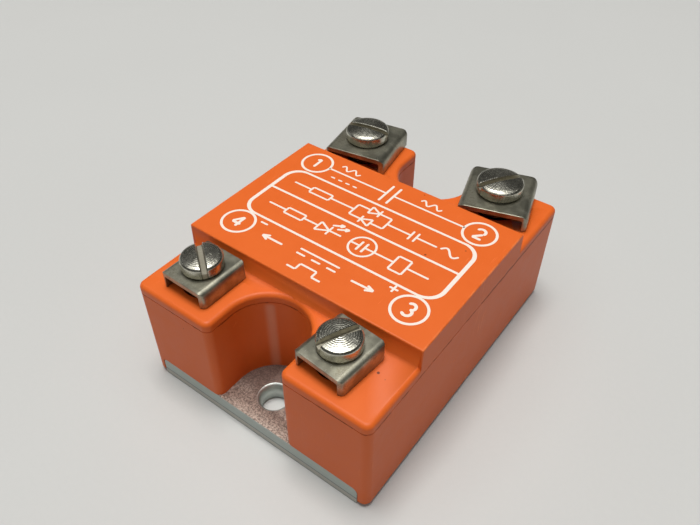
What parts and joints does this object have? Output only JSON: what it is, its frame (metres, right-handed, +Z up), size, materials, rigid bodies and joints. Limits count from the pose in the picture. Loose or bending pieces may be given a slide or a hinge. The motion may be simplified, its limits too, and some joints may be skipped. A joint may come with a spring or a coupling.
{
  "type": "solid state relay",
  "caption": "Panel-mount solid state relay: plastic case on an aluminium plate, mounting notches in its ends and slotted screw terminals with saddle clamps",
  "frame": {"origin": "centre of the base plate's underside, midway between the two mounting holes", "axes": "+Z up out of the mounting surface, +X from terminal 4 to terminal 3, +Y from the control end to the load end"},
  "size_m": [0.0452, 0.0596, 0.0268],
  "materials": {
    "plate_aluminium": "satin",
    "case_plastic": "matte",
    "nickel_steel": "satin",
    "screw_steel": "polished",
    "plated_post": "satin",
    "alumina": "matte",
    "copper": "satin",
    "silicon": "polished",
    "plated_pins": "satin",
    "board_laminate": "satin",
    "part_black": "matte",
    "resistor_body": "matte",
    "capacitor_box": "gloss",
    "potting_resin": "satin"
  },
  "bodies": {
    "relay": {"base_plate": "plate_aluminium", "lower_case": "case_plastic", "top_cover": "case_plastic", "terminal_post_1": "plated_post", "terminal_post_2": "plated_post", "terminal_post_3": "plated_post", "terminal_post_4": "plated_post", "substrate": "alumina", "track_pad_1": "copper", "track_pad_2": "copper", "thyristor_1": "silicon", "thyristor_2": "silicon", "cross_clip_1": "copper", "cross_clip_2": "copper", "load_strap_1": "copper", "load_strap_2": "copper", "control_strap_3": "copper", "control_strap_4": "copper", "gate_pins": "plated_pins", "driver_board": "board_laminate", "opto_coupler": "part_black", "input_resistor": "resistor_body", "input_diode": "part_black", "driver_transistor": "part_black", "snubber_capacitor": "capacitor_box", "snubber_resistor": "resistor_body", "potting": "potting_resin"},
    "clamp_1": {"wire_clamp_1": "nickel_steel"},
    "screw_1": {"clamp_screw_1": "screw_steel"},
    "clamp_2": {"wire_clamp_2": "nickel_steel"},
    "screw_2": {"clamp_screw_2": "screw_steel"},
    "clamp_3": {"wire_clamp_3": "nickel_steel"},
    "screw_3": {"clamp_screw_3": "screw_steel"},
    "clamp_4": {"wire_clamp_4": "nickel_steel"},
    "screw_4": {"clamp_screw_4": "screw_steel"}
  },
  "joints": [
    {"name": "clamp_1_lift", "type": "slide", "parent": "relay", "child": "clamp_1", "axis": [0, 0, 1], "range_m": [0, 0.00317]},
    {"name": "screw_1_turn", "type": "hinge", "parent": "clamp_1", "child": "screw_1", "pos_m": [-0.01505, 0.0229, 0.0242], "axis": [0, 0, 1], "range_deg": [0, 1440]},
    {"name": "clamp_2_lift", "type": "slide", "parent": "relay", "child": "clamp_2", "axis": [0, 0, 1], "range_m": [0, 0.00317]},
    {"name": "screw_2_turn", "type": "hinge", "parent": "clamp_2", "child": "screw_2", "pos_m": [0.01355, 0.0229, 0.0242], "axis": [0, 0, 1], "range_deg": [0, 1440]},
    {"name": "clamp_3_lift", "type": "slide", "parent": "relay", "child": "clamp_3", "axis": [0, 0, 1], "range_m": [0, 0.00317]},
    {"name": "screw_3_turn", "type": "hinge", "parent": "clamp_3", "child": "screw_3", "pos_m": [0.0126, -0.0222, 0.0242], "axis": [0, 0, 1], "range_deg": [0, 1440]},
    {"name": "clamp_4_lift", "type": "slide", "parent": "relay", "child": "clamp_4", "axis": [0, 0, 1], "range_m": [0, 0.00317]},
    {"name": "screw_4_turn", "type": "hinge", "parent": "clamp_4", "child": "screw_4", "pos_m": [-0.0141, -0.0222, 0.0242], "axis": [0, 0, 1], "range_deg": [0, 1440]}
  ],
  "couplings": [
    {"joint": "screw_1_turn", "follows": "clamp_1_lift", "rad_per_m": 7915.8},
    {"joint": "screw_2_turn", "follows": "clamp_2_lift", "rad_per_m": 7915.8},
    {"joint": "screw_3_turn", "follows": "clamp_3_lift", "rad_per_m": 7915.8},
    {"joint": "screw_4_turn", "follows": "clamp_4_lift", "rad_per_m": 7915.8}
  ]
}
